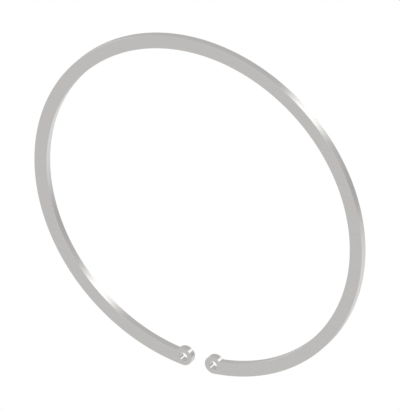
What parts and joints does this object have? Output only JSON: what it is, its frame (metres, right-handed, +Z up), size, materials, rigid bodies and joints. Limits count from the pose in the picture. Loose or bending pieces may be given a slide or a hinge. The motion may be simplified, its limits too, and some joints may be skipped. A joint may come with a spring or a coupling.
{
  "type": "circlip retaining ring",
  "caption": "Flat internal retaining ring: an open band of spring steel of constant width, with a round drilled eye turned inward at each end for ring pliers.",
  "frame": {"origin": "on the ring's axis, at the lower face that the ring lies on", "axes": "+Z up along the ring's axis, towards the upper face; the gap between the eyes is at -Y, and X runs across the gap"},
  "size_m": [0.1204, 0.1201, 0.0025],
  "materials": {
    "spring_steel": "plain tumbled spring steel, light warm grey, with a satin face and brighter walls"
  },
  "bodies": {
    "root": {"retaining_ring": "spring_steel"}
  },
  "joints": []
}
